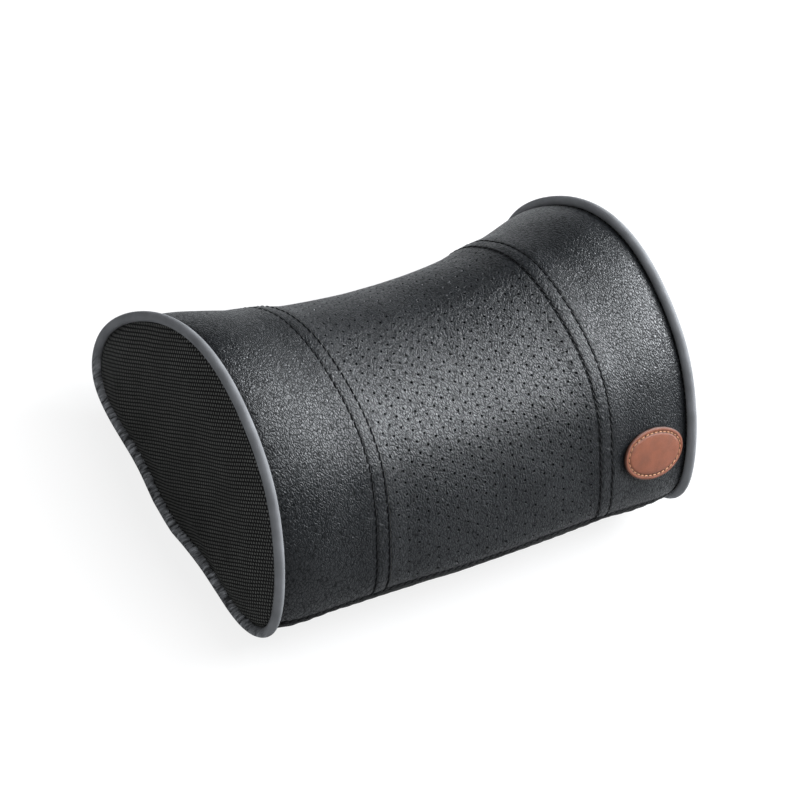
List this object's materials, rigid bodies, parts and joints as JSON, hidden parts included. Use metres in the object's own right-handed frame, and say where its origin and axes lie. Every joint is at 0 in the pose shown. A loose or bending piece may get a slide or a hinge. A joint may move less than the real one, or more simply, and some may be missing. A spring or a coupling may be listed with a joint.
{
  "type": "car neck pillow",
  "caption": "Soft bolster pillow for a car headrest, hollowed for the neck, in black leathercloth with a perforated middle, grey piping and an oval badge.",
  "frame": {"origin": "on the floor under the middle of the pillow, which lies on its back", "axes": "+X along the pillow towards the badge, +Y along its back from the lower edge to the hollow upper edge, +Z out of its back to the front"},
  "size_m": [0.3032, 0.2075, 0.1252],
  "materials": {
    "leathercloth": "grained, half matt",
    "perforated_leathercloth": "grained and perforated, half matt",
    "back_cloth": "plain black cloth",
    "mesh_cloth": "ribbed mesh",
    "grey_piping": "smooth, half matt",
    "black_thread": "sewing thread",
    "foam": "open-cell polyurethane foam",
    "tan_leather": "smooth, matt",
    "tan_thread": "sewing thread",
    "black_elastic": "woven elastic"
  },
  "bodies": {
    "root": {"foam_core": "foam", "middle_panel": "perforated_leathercloth", "side_panel_left": "leathercloth", "side_panel_right": "leathercloth", "back_panel": "back_cloth", "end_panel_left": "mesh_cloth", "end_panel_right": "mesh_cloth", "piping_left": "grey_piping", "piping_right": "grey_piping", "inner_stitching_left": "black_thread", "inner_stitching_right": "black_thread", "outer_stitching_left": "black_thread", "outer_stitching_right": "black_thread", "lower_seam_stitching": "black_thread", "badge": "tan_leather", "badge_stitching": "tan_thread", "headrest_strap": "black_elastic"}
  },
  "joints": []
}
